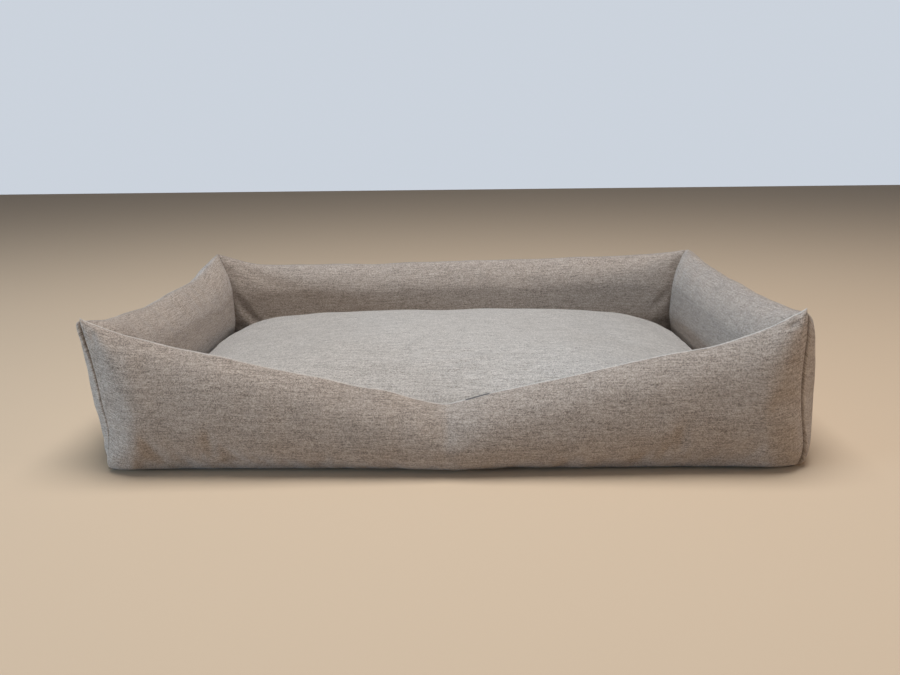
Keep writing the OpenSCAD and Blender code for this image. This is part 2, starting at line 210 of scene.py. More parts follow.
def tweed(name, dark, pale, crease=None):
    """The woven cloth. Its yarns follow the cloth attribute, which holds places on the cut
    fabric in metres. Crease says from where to where a sewn crease shows along the crest,
    as a groove with a near-black line of painted shade in it; with a crease, a pale line of
    painted highlight also runs along the whole crest."""
    made, tree, _ = material(name)
    cloth = node(tree, "Attribute", {"attribute_name": "cloth"}).outputs["Vector"]
    wander = clouds(tree, cloth, 1 / wander_w, 1.0, "Color")
    drift = vector_maths(tree, "MULTIPLY", wander, (yarn_wander,) * 3)
    lain = vector_maths(tree, "ADD", cloth, drift)
    place = node(tree, "SeparateXYZ", _0=lain).outputs

    across, along = (maths(tree, "DIVIDE", place[axis], yarn_pitch) for axis in "XY")
    crossing = maths(tree, "ADD", maths(tree, "FLOOR", across), maths(tree, "FLOOR", along))
    over = maths(tree, "PINGPONG", crossing, 1.0)

    def roundness(yarns):
        from_middle = maths(tree, "SUBTRACT", maths(tree, "FRACT", yarns), 0.5)
        return maths(tree, "COSINE", maths(tree, "MULTIPLY", from_middle, math.pi))

    def yarn_height(own, other):
        return maths(tree, "MULTIPLY", own, maths(tree, "MULTIPLY_ADD", other, 0.5, 0.5))

    warp, weft = roundness(across), roundness(along)
    height = mix(tree, over, yarn_height(warp, weft), yarn_height(weft, warp))

    def stretched_clouds(length, width):
        stretched = vector_maths(tree, "MULTIPLY", lain, (1 / length, 1 / width, 1))
        return clouds(tree, stretched, 1.0, 2.0)

    def patches(length, width, shift):
        """A random shade for every visible piece of yarn."""
        row = maths(tree, "FLOOR", maths(tree, "DIVIDE", place["Y"], width * yarn_pitch))
        column = maths(tree, "DIVIDE", place["X"], length * yarn_pitch)
        column = maths(tree, "ADD", column, maths(tree, "MULTIPLY", row, shift))
        column = maths(tree, "FLOOR", column)
        cell = node(tree, "CombineXYZ", _0=column, _1=row, _2=length / width).outputs[0]
        at = {"noise_dimensions": "3D"}
        return node(tree, "TexWhiteNoise", at, Vector=cell).outputs["Value"]

    pebble = stretched_clouds(pebble_l, pebble_w)
    mottle_and_shade = 0.0
    shades = [(patches(*patch), share) for *patch, share in yarn_patches]
    shades += [(pebble, pebble_share), (stretched_clouds(cloud_l, cloud_w), cloud_share)]
    # The yarns' height goes in too, as painted shade in the hollows between them
    for shade, share in shades + [(height, yarn_shade_share)]:
        mottle_and_shade = maths(tree, "MULTIPLY_ADD", shade, share, mottle_and_shade)
    shade = node(tree, "MapRange", _0=mottle_and_shade, _1=darkest, _2=palest).outputs[0]
    colour = tint(tree, shade, dark, pale)
    relief = maths(tree, "ADD", height, maths(tree, "MULTIPLY", pebble, 0.2))

    if crease:
        def stripe(value, middle, whole, gone):
            away = maths(tree, "ABSOLUTE", maths(tree, "SUBTRACT", value, middle))
            return spot(tree, away, whole, gone)

        at = {"attribute_name": "from_crest"}
        from_crest = node(tree, "Attribute", at).outputs["Fac"]
        middle, half = (crease[0] + crease[1]) / 2, (crease[1] - crease[0]) / 2
        place_along = node(tree, "SeparateXYZ", _0=cloth).outputs["X"]
        # The crease: a real groove in the bump, and a near-black line of painted shade in the fold
        inside = stripe(place_along, middle, 0.8 * half, half)
        fold_and_shade = maths(tree, "MULTIPLY", stripe(from_crest, crease_at, *crease_w), inside)
        # A pale line of painted highlight along the whole crest, where light catches the ridge
        crest_highlight = stripe(from_crest, crest_highlight_at, *crest_highlight_w)
        colour = tint(tree, maths(tree, "MULTIPLY", crest_highlight, crest_highlight_share), colour, crest_highlight_colour)
        colour = tint(tree, maths(tree, "MULTIPLY", fold_and_shade, crease_shade_share), colour, crease_shade_colour)
        relief = maths(tree, "SUBTRACT", relief, maths(tree, "MULTIPLY", fold_and_shade, crease_depth))
    return finished(
        made, Base_Color=colour, Roughness=0.93, Specular_IOR_Level=0.18, Sheen_Weight=0.2,
        Sheen_Roughness=0.35, Sheen_Tint=fluff_tint, Normal=bump(tree, relief, 0.7, yarn_relief),
    )


wall_shades = (0.110, 0.081, 0.062, 1), (0.59, 0.493, 0.417, 1)
cushion_shades = (0.195, 0.170, 0.148, 1), (0.74, 0.68, 0.625, 1)
wall_tweed = tweed("wall_tweed", *wall_shades)
front_tweed = tweed("front_tweed", *wall_shades, crease=(0.025, 0.059))
cushion_tweed = tweed("cushion_tweed", *cushion_shades)

# ---- Wall covers -----------------------------------------------------------------------
# A wall's cover is a tube of tweed, pinched flat at both ends and sewn there to the next
# wall, so that each corner rises to a point. Its lower edges are sewn to the base fabric.
# The filling has settled: each crest runs a little unevenly, and the fabric puckers at seams.

base_low, base_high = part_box("base_panel")
front_low, front_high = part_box("front_wall_cover")
hem_inset = 1 * MM
half_l, half_d = base_high.x + hem_inset, base_high.y + hem_inset
base_top = base_high.z
bulge_out, bulge_in = -front_low.y - half_d, front_high.y + half_d
front_tip, back_tip = front_high.z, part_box("back_wall_cover")[1].z
zip_low, zip_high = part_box("front_zip_chain")

fabric_t = 1.8 * MM
belly_share = 0.45
foot_top = base_top + 19 * MM
foot_in = bulge_in - 5.6 * MM
swelling = 3.2 * MM  # what the filling adds to the outer side
inner_taper = 90 * MM
crest_roundness, hem_roundness, foot_roundness = 1.85, 1.8, 2.4
tip_l, tip_fade, corner_l = 80 * MM, 1.5, 90 * MM  # how far a corner's own roundness reaches
hem_least = 0.25  # of the outer side's bulge, under an inset form
# A wall's plump end: its length, its share of the bulge, its power, and the roll of its edge
end_l, end_share, end_power = 50 * MM, 0.86, 1.75
roll_h, roll_at, roll_w = 1.2 * MM, 3.2 * MM, 2.2 * MM
# How far that end presses past its seam, where it starts, how far it reaches and its powers
over_h, over_start, over_l, over_fade, over_focus = 12 * MM, 1.9 * MM, 60 * MM, 1.3, 1.5

# The front crest is a V. A sag or a swell of a crest: its height, its middle and its half
# width, along the front from its middle, and along the sides from their front ends
dip_h, dip_slope, dip_round = 91.8 * MM, 0.2356, 12 * MM
front_swells = ((3.5 * MM, -0.068, 0.032), (1.5 * MM, 0.06, 0.03), (-2.5 * MM, 0.335, 0.035))
left_swells = ((5 * MM, 0.14, 0.035), (4 * MM, 0.33, 0.10))
right_swells = ((2.5 * MM, 0.17, 0.09),)
front_left_lift, front_right_lift = (9.5 * MM, 50 * MM), (14.5 * MM, 68 * MM)
back_h, back_climb, climb_from, climb_l = 172 * MM, 12 * MM, 0.15, 0.55
left_h, right_h = 169 * MM, 188 * MM
right_tip = front_tip + 3 * MM

# Rows of a cover, from its outer hem over the crest to its inner foot
hem_rows, side_rows, low_rows = 12, 15, 7
hem_crowding = 1.35
low_span = 0.9, 0.15
foot_levels = np.array([
    foot_top, zip_high.z + 1.2 * MM, zip_high.z, zip_low.z, zip_low.z - 2 * MM, base_top,
])
foot_rows = len(foot_levels)
slot_level = 2  # the zip's slot lies between this level and the next
crest_row = hem_rows + side_rows
column_step = 7 * MM
end_columns = np.array([0, 0.5, 1.1, 1.9, 3.0, 4.5, 6.5, 9.0, 12.0, 16.0]) * MM
after_end = 5 * MM


def superellipse(share, power):
    return np.maximum(0, 1 - np.minimum(1, share) ** power) ** (1 / power)


def ramp(distance, length):
    """0 at no distance, and 1 from length on."""
    return np.clip(distance / length, 0, 1)


def rise(distance, length, power=2.0):
    """1 at no distance, and 0 from length on."""
    return (1 - ramp(distance, length)) ** power


def bell(x, middle, width):
    return np.exp(-(((x - middle) / width) ** 2))


def swells(x, table):
    return sum(height * bell(x, middle, width) for height, middle, width in table)


def front_crest(x):
    s = half_l - np.abs(x)
    slope = dip_h + dip_slope * (np.sqrt(x * x + dip_round**2) - dip_round)
    left, right = (lift * rise(s, length) for lift, length in (front_left_lift, front_right_lift))
    return slope + swells(x, front_swells) + np.where(x > 0, right, left)


def to_tips(level, *tips):
    """A crest's level, raised to a tip at each end, given as the tip's height, the distance
    from that end, the length of the rise and its power."""
    return level + sum((tip - level) * rise(*reach) for tip, *reach in tips)


def back_crest(u):
    level = back_h + back_climb * ramp(climb_from - u, climb_l)
    return to_tips(level, (back_tip, half_l - u, 85 * MM), (back_tip, half_l + u, 60 * MM))


def left_crest(u):
    level = left_h + swells(half_d - u, left_swells)
    return to_tips(level, (front_tip, half_d - u, 0.30, 1.5), (back_tip, half_d + u, 0.17, 1.4))


def right_crest(u):
    level = right_h + swells(half_d + u, right_swells)
    return to_tips(level, (right_tip, half_d + u, 0.22, 1.3), (back_tip, half_d - u, 0.12))


@dataclass
class Wall:
    """A wall's form, in axes along it, across it and up. A pair holds a value for its end
    where the first axis starts and one for its other end."""

    half: float  # half the length between its corner seams
    crest: object  # its height at a place along it
    turn: float  # about the vertical
    seam_line: float  # how far its seams lie from the bed's middle
    tapers: tuple = (85 * MM, 85 * MM)  # where the outer side reaches its full bulge
    tip_powers: tuple = (2.6, 2.6)  # how square the outer side is under the tips
    foot_powers: tuple = (3.6, 3.6)  # and at the feet of the corners
    inner_power: float = 2.2  # how square the inner side is under the crest


walls = {
    "front": Wall(half_l, front_crest, 0, half_d, foot_powers=(3.6, 3.4), inner_power=1.65),
    "back": Wall(half_l, back_crest, math.pi, half_d),
    "left": Wall(
        half_d, left_crest, -math.pi / 2, half_l,
        tapers=(85 * MM, 150 * MM), tip_powers=(2.6, 5.0), foot_powers=(3.6, 2.2),
    ),
    "right": Wall(
        half_d, right_crest, math.pi / 2, half_l, tip_powers=(3.6, 2.6), foot_powers=(6.5, 3.6),
    ),
}


def columns(half, spacing, first):
    """Places along a wall, evenly spaced, and denser on its rolled ends unless cut at first."""
    start = first or end_columns[-1] + after_end
    count = int(round(2 * (half - start) / spacing))
    middle = np.linspace(start - half, half - start, count)
    if first:
        return middle
    return np.concatenate([end_columns - half, middle, half - end_columns[::-1]])


def wall_grid(wall, spacing, first=0.0, inset=0.0):
    """Points of a wall in its own axes, as an array of columns x rows x 3, with the outer side
    negative. The form can be cut off at first from its ends, and drawn in by an inset."""
    u = columns(wall.half, spacing, first)[:, None]
    s = wall.half - np.abs(u)
    tapers, tip_power, foot_power = (
        np.where(u < 0, *pair) for pair in (wall.tapers, wall.tip_powers, wall.foot_powers)
    )
    crest_power = crest_roundness + (tip_power - crest_roundness) * rise(s, tip_l, tip_fade)
    hem_power = hem_roundness + (foot_power - hem_roundness) * rise(s, corner_l)
    top = wall.crest(u) - inset
    belly = base_top + belly_share * (wall.crest(u) - base_top)
    bed = base_top + inset

    plump = superellipse(1 - ramp(s, end_l), end_power)
    swept = np.sin(math.pi / 2 * ramp(s, tapers))
    outer = (bulge_out - swelling) * (end_share * plump + (1 - end_share) * swept) - inset
    outer = outer + roll_h * bell(s, roll_at, roll_w)
    below = (np.arange(hem_rows) / hem_rows) ** hem_crowding
    hem_z = base_top + below * (belly - base_top)
    under = superellipse((belly - hem_z) / (belly - base_top), hem_power)
    hem_y = -np.maximum(hem_least * outer * under, (outer + inset) * under - inset)
    turn = np.sin(math.pi / 2 * np.arange(side_rows) / side_rows)
    up_z = belly + turn * (top - belly)
    out_y = -outer * superellipse(turn, crest_power)

    mitre = s - inset * math.sqrt(2)
    inner_full = bulge_in * np.sqrt(1 - (1 - ramp(s, inner_taper)) ** 2)
    inner = inner_full - inset
    foot = foot_in * inner_full / bulge_in - inset
    in_y = np.minimum(mitre, inner * superellipse(turn, wall.inner_power))
    low_z = foot_top + np.linspace(*low_span, low_rows) * (belly - foot_top)
    low_w = inner * superellipse((belly - low_z) / (belly - base_top), foot_roundness)
    low_y = np.minimum(mitre, np.maximum(low_w, foot))
    foot_z = np.maximum(bed, foot_levels) + 0 * u
    foot_y = np.minimum(mitre, foot) + 0 * foot_z

    y = np.hstack([hem_y, out_y, 0 * u, in_y[:, ::-1], low_y, foot_y])
    z = np.hstack([np.maximum(bed, hem_z), up_z, top, up_z[:, ::-1], low_z, foot_z])
    # The plump end bulges past its seam and presses against the end of the next wall
    over = over_h * (1 - np.exp(-s / over_start)) * rise(s, over_l, over_fade)
    over = np.sign(u) * over * ramp(-y, np.maximum(outer, 1 * MM)) ** over_focus
    return np.dstack([u + over * (first == 0), y, z])


def grid_mesh(name, points, keep=slice(None)):
    """A mesh over a grid of points, with the faces to keep."""
    count, rows = points.shape[:2]
    index = np.arange(count * rows).reshape(count, rows)
    faces = np.stack([index[:-1, :-1], index[1:, :-1], index[1:, 1:], index[:-1, 1:]], axis=-1)
    mesh = bpy.data.meshes.new(name)
    mesh.from_pydata(points.reshape(-1, 3).tolist(), [], faces[keep].reshape(-1, 4).tolist())
    return mesh


def lay_cloth(mesh, places, from_crest=None):
    """Tells the tweed where each vertex lies on the cut fabric, and how far from the crest."""
    cloth = mesh.attributes.new("cloth", "FLOAT_VECTOR", "POINT")
    cloth.data.foreach_set("vector", places.astype(np.float32).ravel())
    if from_crest is not None:
        crest = mesh.attributes.new("from_crest", "FLOAT", "POINT")
        crest.data.foreach_set("value", from_crest.astype(np.float32).ravel())


def lengths(points, axis):
    """The length of cloth from the first point of each line along an axis."""
    steps = np.linalg.norm(np.diff(points, axis=axis), axis=2)
    return np.insert(np.cumsum(steps, axis=axis), 0, 0, axis=axis)


def add_object(name, mesh, *finishes):
    for finish in finishes:
        mesh.materials.append(finish)
    mesh.shade_smooth()
    made = bpy.data.objects.new(name, mesh)
    scene.collection.objects.link(made)
    return made


def values_of(items, key, width=3):
    """One value of each item, as an array."""
    flat = np.empty(len(items) * width)
    items.foreach_get(key, flat)
    return flat.reshape(-1, width) if width > 1 else flat


def set_coordinates(mesh, points):
    mesh.vertices.foreach_set("co", points.ravel())
    mesh.update()


def swell(piece, sewn, pressure, slack, furthest, frames=18):
    """Blows the filling into a sewn cover: its fabric, a little larger than its form, is
    pushed out while its seams hold, and no point moves further than furthest."""
    before = values_of(piece.data.vertices, "co")
    held = piece.vertex_groups.new(name="sewn")
    held.add(np.flatnonzero(sewn).tolist(), 1.0, "REPLACE")
    cloth = piece.modifiers.new("filling", "CLOTH")
    set_all(
        cloth.settings, quality=5, mass=0.25, tension_stiffness=12, compression_stiffness=12,
        shear_stiffness=6, bending_stiffness=0.35, vertex_group_mass="sewn", shrink_min=-slack,
        use_pressure=True, uniform_pressure_force=pressure,
    )
    cloth.settings.effector_weights.gravity = 0
    cloth.collision_settings.use_collision = False
    cloth.point_cache.frame_start, cloth.point_cache.frame_end = 1, frames
    for at in range(1, frames + 1):
        scene.frame_set(at)
    filled = piece.evaluated_get(bpy.context.evaluated_depsgraph_get())
    moved = values_of(filled.data.vertices, "co") - before
    piece.modifiers.remove(cloth)
    piece.vertex_groups.remove(held)
    scene.frame_set(1)
    far = np.linalg.norm(moved, axis=1, keepdims=True)
    moved *= furthest * np.tanh(far / furthest) / np.maximum(far, 1e-9)
    set_coordinates(piece.data, before + moved)


def subdivide(piece):
    modifier = piece.modifiers.new("subdivision", "SUBSURF")
    set_all(modifier, levels=1, render_levels=1, boundary_smooth="PRESERVE_CORNERS")
    shown = piece.evaluated_get(bpy.context.evaluated_depsgraph_get())
    finer = bpy.data.meshes.new_from_object(shown)
    piece.modifiers.clear()
    finer.name = piece.data.name
    piece.data = finer


noise_reach = 1.6


def ripple(places, depth, width, seed):
    """Soft hills and hollows of about the depth, at each of the places."""
    shift = Vector((seed, 7.3 * seed, 1.7))
    hills = np.array([noise.noise(Vector(p) / width + shift) for p in places])
    return depth * (hills * noise_reach)


pinch_l, pinched_t = 25 * MM, 0.04  # a cover's fabric is thinner by its pinched ends


def thicken(piece, from_end=None):
    """Gives a cover its fabric's thickness, inwards. From_end says how far each vertex is
    from a pinched end, where there is no room for it."""
    shell = piece.modifiers.new("fabric", "SOLIDIFY")
    set_all(shell, thickness=fabric_t, offset=-1)
    if from_end is not None:
        room = piece.vertex_groups.new(name="room")
        for i, weight in enumerate(ramp(from_end, pinch_l)):
            room.add([i], float(weight), "REPLACE")
        set_all(shell, vertex_group="room", thickness_vertex_group=pinched_t)


# The front corners have slumped: the left one's foot is drawn in and its tip leans out, and
# the right one is bowed in halfway up. The last values say how far along the front wall, in
# from its outer side and behind its seam this reaches
left_foot_in, left_tip_out, lean_power = 22 * MM, 26 * MM, 2.8
lean_from, lean_h = 0.05, 0.15
left_bow = ((4 * MM, 0.060, 0.024), (-8 * MM, 0.008, 0.018))
right_bow = ((2.4 * MM, 0.03, 0.025), (-11.2 * MM, 0.120, 0.075))
slump_from, slump_l, slump_depth = 0.33, 0.10, 30 * MM
left_slump_l, right_slump_l = 70 * MM, 45 * MM


def settle(points):
    x, y, z = points.T
    inside = np.minimum(half_l - np.abs(x), y + half_d)
    near = ramp(np.abs(x) - slump_from, slump_l) * rise(inside, slump_depth, 1)
    behind = np.maximum(y + half_d, 0)
    left = left_foot_in - left_tip_out * ramp(z - lean_from, lean_h) ** lean_power
    left = (left + swells(z, left_bow)) * bell(behind, 0, left_slump_l)
    right = swells(z, right_bow) * bell(behind, 0, right_slump_l)
    return points + np.column_stack([np.where(x < 0, left, right) * near, 0 * y, 0 * z])


def in_place(points, wall):
    """A wall's own points, turned about the vertical to where the wall stands."""
    across = points[:, 1] - wall.seam_line
    c, s = math.cos(wall.turn), math.sin(wall.turn)
    x, y = c * points[:, 0] - s * across, s * points[:, 0] + c * across
    return settle(np.column_stack([x, y, points[:, 2]]))


# Depth and width of the ripples and of the puckers at the seams, and how far those reach
broad_ripple, fine_ripple = (1.3 * MM, 95 * MM), (0.5 * MM, 34 * MM)
seam_pucker, seam_reach = (1.1 * MM, 13 * MM), 26 * MM
hem_pucker, hem_reach = (0.7 * MM, 28 * MM), 16 * MM
# The front crest's seam allowance shows as a low ridge, away from the corners
ridge_h, ridge_w, ridge_from = 1.3 * MM, 4.5 * MM, 60 * MM
# Wrinkles of each wall: along it, from its crest, half width and half height in mm, depth in mm
wrinkles = {
    "front": [
        (0.002, -0.045, 9, 34, 1.6), (-0.034, -0.040, 16, 26, -0.9), (0.05, -0.03, 22, 18, -1.0),
        (-0.405, -0.035, 9, 22, 0.8), (0.402, -0.030, 9, 24, 0.7), (0.34, -0.08, 30, 20, 0.9),
        (0.428, -0.013, 6, 3.2, 3.6), (0.436, -0.004, 3, 3, 2.4), (-0.436, -0.020, 3.5, 9, 1.2),
        (-0.25, -0.09, 40, 18, 0.8), (0.18, -0.10, 36, 16, 0.7),
    ],
    "back": [
        (0.30, 0.045, 26, 18, 1.2), (-0.12, 0.05, 34, 16, 1.0), (-0.37, 0.035, 12, 26, 1.5),
        (0.39, 0.05, 14, 30, 1.4), (0.06, 0.03, 30, 14, 0.8),
    ],
    "left": [
        (-0.055, 0.040, 13, 26, 3.0), (-0.095, 0.026, 10, 20, 2.2), (0.02, 0.03, 16, 26, 2.0),
        (0.085, 0.036, 13, 30, 2.4), (0.15, 0.03, 12, 24, 2.0), (-0.02, 0.012, 18, 12, -1.6),
        (-0.16, 0.05, 16, 30, 1.4), (0.2, 0.03, 10, 26, 1.6),
    ],
    "right": [
        (0.12, 0.035, 18, 26, 1.6), (-0.03, 0.05, 30, 26, 1.2), (-0.14, 0.03, 15, 24, 1.5),
        (0.20, 0.04, 14, 30, 1.8), (-0.215, 0.025, 12, 22, 1.6),
    ],
}
sewn_end, sewn_hem_rows, press = 13 * MM, 2, 0.5 * MM
# How far from its seams the fabric is free to move, on the inner and the outer side
inner_hold, outer_hold = 12 * MM, 5 * MM
# The inner side stays clear of the cushion, and at its foot of the cushion's zip pull
inner_room, foot_room, foot_room_from, foot_room_l = 0.2 * MM, 4.4 * MM, 60 * MM, 18 * MM
mitre_room = 0.3 * MM


def cover_mesh(name, wall, number):
    """A wall's cover before it is filled, and its vertices that a seam or a wall holds."""
    points = wall_grid(wall, column_step)
    length = lengths(points, 1)
    places = np.dstack([points[..., 0], length, np.full(length.shape, number)])
    low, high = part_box(f"{name}_zip_chain")
    half = max((high - low).xy) / 2
    start, end = (np.argmin(np.abs(points[:, 0, 0] - at)) for at in (-half, half))
    points[start, :, 0], points[end, :, 0] = -half, half
    rows = points.shape[1]
    keep = np.ones((len(points) - 1, rows - 1), bool)
    keep[start:end, rows - foot_rows + slot_level] = False
    mesh = grid_mesh(f"{name}_wall_fabric", points, keep)
    lay_cloth(mesh, places, length - length[:, crest_row:crest_row + 1])

    row = np.tile(np.arange(rows), len(points))
    s = wall.half - np.abs(points[..., 0].ravel())
    y = points[..., 1].ravel()
    pressed = (y > 0) & (y > s - press)
    return mesh, (row < sewn_hem_rows) | (row >= rows - foot_rows) | (s < sewn_end) | pressed


def wrinkled(mesh, name, wall, number):
    """A filled cover's vertices once it has its wrinkles, and how far they are from its end."""
    at, normals = (values_of(mesh.vertices, key) for key in ("co", "normal"))
    cloth = values_of(mesh.attributes["cloth"].data, "vector")
    from_crest = values_of(mesh.attributes["from_crest"].data, "value", 1)
    x, y, z = at.T
    s = wall.half - np.abs(x)
    push = ripple(cloth, *broad_ripple, 1 + number) + ripple(cloth, *fine_ripple, 11 + number)
    up_seam = np.column_stack([z, s * 0.25, cloth[:, 2]])
    push += ripple(up_seam, *seam_pucker, 21 + number) * np.exp(-s / seam_reach)
    along_hem = np.column_stack([x, z * 0.3, cloth[:, 2]])
    by_hem = np.exp(-(z - base_top) / hem_reach) * (y < 0)
    push += ripple(along_hem, *hem_pucker, 31 + number) * by_hem
    for along, down, wide, tall, depth in wrinkles[name]:
        push -= depth * MM * bell(x, along, wide * MM) * bell(from_crest, down, tall * MM)
    if name == "front":
        push += ridge_h * bell(from_crest, 0, ridge_w) * ramp(s - ridge_from, ridge_from)
    inner_free = ramp(s, inner_hold) * ramp(z - foot_top, inner_hold)
    outer_free = ramp(s, outer_hold) * ramp(z - base_top, outer_hold)
    free = np.where(y > 0, inner_free, outer_free)
    moved = at + normals * (push * free)[:, None]

    foot = ramp(foot_room_from - moved[:, 2], foot_room_l)
    furthest_in = np.minimum(s + mitre_room, bulge_in - inner_room - foot_room * foot)
    moved[:, 1] = np.where(y > 0, np.minimum(moved[:, 1], furthest_in), moved[:, 1])
    moved[:, 2] = np.maximum(moved[:, 2], base_top)
    return moved, s


for number, (name, wall) in enumerate(walls.items()):
    mesh, sewn = cover_mesh(name, wall, number)
    cover = add_object(mesh.name, mesh, front_tweed if name == "front" else wall_tweed)
    swell(cover, sewn, pressure=3.0, slack=0.012, furthest=4 * MM)
    subdivide(cover)
    moved, from_end = wrinkled(cover.data, name, wall, number)
    set_coordinates(cover.data, in_place(moved, wall))
    thicken(cover, from_end)
    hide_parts(f"{name}_wall_cover")
    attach(cover, "frame")

# ---- Foam cores ------------------------------------------------------------------------
# Inside each cover lies a block of soft foam, cut to the same pillow shape a little smaller,
# with plain ends that stop short of the pinched corners.

core_gap = 8 * MM
core_end = 14 * MM
core_step = 24 * MM
foam_cell, foam_cloud = 1.6 * MM, 70 * MM
foam_dark, foam_pale = (0.78, 0.74, 0.60, 1), (0.86, 0.84, 0.74, 1)


def foam_finish():
    made, tree, place = material("cut_foam")
    cells = node(tree, "TexVoronoi", Vector=place, Scale=1 / foam_cell)
    colour = tint(tree, clouds(tree, place, 1 / foam_cloud, 3.0), foam_dark, foam_pale)
    return finished(
        made, Base_Color=colour, Roughness=0.95, Specular_IOR_Level=0.1,
        Normal=bump(tree, cells.outputs["Distance"], 0.6, 0.6 * MM),
    )


def tube_faces(count, around):
    """Vertex numbers of rings of points, and the faces between them."""
    index = np.arange(count * around).reshape(count, around)
    after = np.roll(index, -1, axis=1)
    return index, np.stack([index[:-1], index[1:], after[1:], after[:-1]], axis=-1)


class Pile:
    """Tubes with capped ends, through rings of points, gathered into one mesh."""

    def __init__(self):
        self.points, self.faces, self.finish = [], [], []

    def add(self, rings, finish=0):
        index, faces = tube_faces(len(rings), len(rings[0]))
        faces = faces.reshape(-1, 4).tolist() + [index[0].tolist(), index[-1, ::-1].tolist()]
        first = len(self.points)
        self.points += [tuple(point) for ring in rings for point in ring]
        self.faces += [[first + i for i in face] for face in faces]
        self.finish += [finish] * len(faces)

    def object(self, name, *finishes):
        mesh = bpy.data.meshes.new(name)
        mesh.from_pydata(self.points, [], self.faces)
        mesh.polygons.foreach_set("material_index", self.finish)
        turned = bmesh.new()
        turned.from_mesh(mesh)
        bmesh.ops.recalc_face_normals(turned, faces=turned.faces)
        turned.to_mesh(mesh)
        turned.free()
        return add_object(name, mesh, *finishes)


foam = foam_finish()
for name, wall in walls.items():
    rings = wall_grid(wall, core_step, first=core_end, inset=core_gap)
    pile = Pile()
    pile.add([in_place(ring, wall) for ring in rings])
    core = pile.object(f"{name}_wall_foam", foam)
    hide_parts(f"{name}_wall_core")
    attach(core, "frame")

# ---- Base fabric -----------------------------------------------------------------------
# The bed stands on a rectangle of black woven fabric with small rubbery dots printed on its
# underside. Its margin is turned and sewn to the lower edges of the four covers.

base_l, base_w = (base_high - base_low).xy
margin_w, margin_lift = 14 * MM, 0.6 * MM
# Inset and height of the fabric's rings, from its underside round the edge to its upper side
base_rings = (
    (margin_w, 0), (margin_w * 0.8, margin_lift * 0.6), (margin_w * 0.6, margin_lift),
    (1.2 * MM, margin_lift), (0.3 * MM, margin_lift + 0.25 * MM), (0, base_top / 2),
    (0.2 * MM, base_top - 0.25 * MM), (0.8 * MM, base_top), (margin_w, base_top),
)
ring_across, ring_deep = 60, 40
dot_pitch, dot_r, dot_edge = 7 * MM, 1.5 * MM, 0.8
dot_colour, dot_roughness, dot_relief = (0.02, 0.02, 0.021, 1), 0.45, 2.5
base_dark, base_pale, base_roughness = (0.035, 0.033, 0.032, 1), (0.085, 0.08, 0.076, 1), 0.9
base_seam_inset = 5 * MM
stitch_l, stitch_pitch, stitch_r = 3.0 * MM, 4.0 * MM, 0.32 * MM
# Sections of a stitch: how far along it, how thick and how high they are
stitch_form = ((-0.5, 0.45, -0.5), (-0.25, 1, 0.2), (0.25, 1, 0.2), (0.5, 0.45, -0.5))
stitch_flatness = 1.2


def twill(tree, place, scale, distortion):
    """The diagonal ribs of a close weave."""
    at = {"bands_direction": "DIAGONAL"}
    made = node(tree, "TexWave", at, Vector=place, Scale=scale, Distortion=distortion)
    return made.outputs["Fac"]


def base_finish():
    made, tree, place = material("dotted_base")
    cell = vector_maths(tree, "MULTIPLY", place, (1 / dot_pitch,) * 3)
    cell = vector_maths(tree, "SUBTRACT", vector_maths(tree, "FRACTION", cell), (0.5, 0.5, 0))
    away = vector_maths(tree, "LENGTH", vector_maths(tree, "MULTIPLY", cell, (1, 1, 0)))
    dot = spot(tree, away, dot_edge * dot_r / dot_pitch, dot_r / dot_pitch)
    normal = node(tree, "NewGeometry").outputs["True Normal"]
    upwards = node(tree, "SeparateXYZ", _0=normal).outputs["Z"]
    dot = maths(tree, "MULTIPLY", dot, maths(tree, "LESS_THAN", upwards, 0.0))
    woven = tint(tree, clouds(tree, place, 900.0, 2.0), base_dark, base_pale)
    relief = maths(tree, "MULTIPLY_ADD", dot, dot_relief, twill(tree, place, 330.0, 0.4))
    return finished(
        made, Base_Color=tint(tree, dot, woven, dot_colour),
        Roughness=mix(tree, dot, base_roughness, dot_roughness),
        Normal=bump(tree, relief, 0.6, 0.25 * MM),
    )


def plain_finish(name, colour, roughness, metal=0.0, grain=400.0, depth=0.1 * MM):
    """A thread, cord or metal, a little uneven in its tone and surface."""
    made, tree, place = material(name)
    uneven = clouds(tree, place, grain, 3.0)
    smoothest, roughest = roughness - 0.08, roughness + 0.08
    rough = node(tree, "MapRange", _0=uneven, _3=smoothest, _4=roughest).outputs[0]
    darker = (*(0.72 * c for c in colour), 1)
    return finished(
        made, Base_Color=tint(tree, uneven, darker, (*colour, 1)), Roughness=rough,
        Metallic=metal, Normal=bump(tree, uneven, 0.4, depth),
    )


thread = plain_finish("sewing_thread", (0.42, 0.37, 0.31), 0.75)
dark_thread = plain_finish("dark_thread", (0.06, 0.055, 0.05), 0.75)


def circle(count):
    turns = [math.tau * k / count for k in range(count)]
    return [(math.cos(a), math.sin(a)) for a in turns]


def sew(pile, start, end, out):
    """A line of stitches from start to end, on a surface that faces out."""
    start, end, out = Vector(start), Vector(end), Vector(out)
    run = end - start
    way = run.normalized()
    side = way.cross(out)
    for i in range(int(run.length / stitch_pitch)):
        middle = start + way * (i + 0.5) * stitch_pitch
        rings = []
        for along, size, lift in stitch_form:
            at = middle + way * along * stitch_l + out * lift * stitch_r
            rings.append([
                at + (side * c * stitch_flatness + out * s) * size * stitch_r
                for c, s in circle(5)
            ])
        pile.add(rings)


def rectangle(inset, z):
    """A ring of points round the base fabric."""
    x, y = base_l / 2 - inset, base_w / 2 - inset
    across, deep = (np.linspace(-1, 1, count + 1)[:-1] for count in (ring_across, ring_deep))
    front, right = [(t * x, -y, z) for t in across], [(x, t * y, z) for t in deep]
    return front + right + [(-a, -b, z) for a, b, z in front + right]


pile = Pile()
pile.add([settle(np.array(rectangle(*ring))) for ring in base_rings])
base = pile.object("base_fabric", base_finish())
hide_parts("base_panel")
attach(base, "frame")

